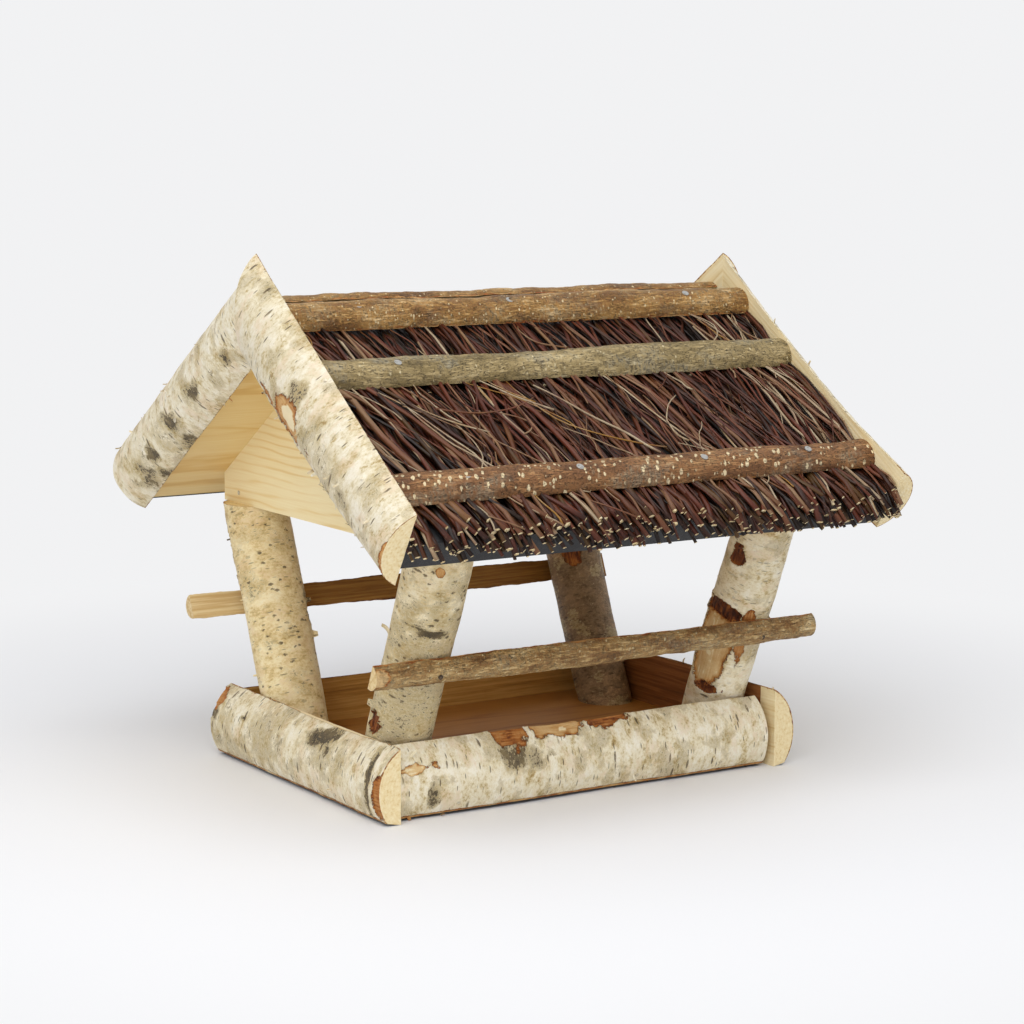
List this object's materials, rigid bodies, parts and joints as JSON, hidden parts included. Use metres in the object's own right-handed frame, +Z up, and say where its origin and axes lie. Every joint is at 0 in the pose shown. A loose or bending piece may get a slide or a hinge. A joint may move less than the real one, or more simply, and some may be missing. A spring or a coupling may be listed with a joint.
{
  "type": "bird table",
  "caption": "Open bird feeding table: a board tray with log rims, leaning round posts, side perches and a brushwood saddle roof on boards and felt.",
  "frame": {"origin": "middle of the tray's underside, in the plane that the table rests on", "axes": "+X along the ridge towards the right gable as the front is seen, +Y from the front eave to the rear eave, +Z up"},
  "size_m": [0.4428, 0.44, 0.3853],
  "materials": {
    "birch_bark": "birch bark, cream white with dark dashes, split faces smooth pale wood",
    "pine_board": "planed pine, bare",
    "hazel_bark": "thin brown bark, lightly speckled",
    "brushwood": "dark red-brown twigs",
    "roofing_felt": "dark grey mineral felt, matt",
    "steel_nail": "bare steel, slightly dull"
  },
  "bodies": {
    "root": {"rim_front": "birch_bark", "rim_rear": "birch_bark", "rim_left": "birch_bark", "rim_right": "birch_bark", "post_front_left": "birch_bark", "post_front_right": "birch_bark", "post_rear_left": "birch_bark", "post_rear_right": "birch_bark", "barge_left_front": "birch_bark", "barge_left_rear": "birch_bark", "barge_right_front": "birch_bark", "barge_right_rear": "birch_bark", "floor_board": "pine_board", "gable_board_left": "pine_board", "gable_board_right": "pine_board", "roof_board_front": "pine_board", "roof_board_rear": "pine_board", "perch_front": "hazel_bark", "perch_rear": "hazel_bark", "batten_front_ridge": "hazel_bark", "batten_front_upper": "hazel_bark", "batten_front_lower": "hazel_bark", "batten_rear_ridge": "hazel_bark", "batten_rear_upper": "hazel_bark", "batten_rear_lower": "hazel_bark", "thatch_front": "brushwood", "thatch_rear": "brushwood", "roofing_felt": "roofing_felt", "batten_nails": "steel_nail", "barge_nails": "steel_nail", "perch_nails": "steel_nail", "rim_nails": "steel_nail", "gable_nails": "steel_nail", "roof_board_nails": "steel_nail", "post_screws": "steel_nail"}
  },
  "joints": []
}
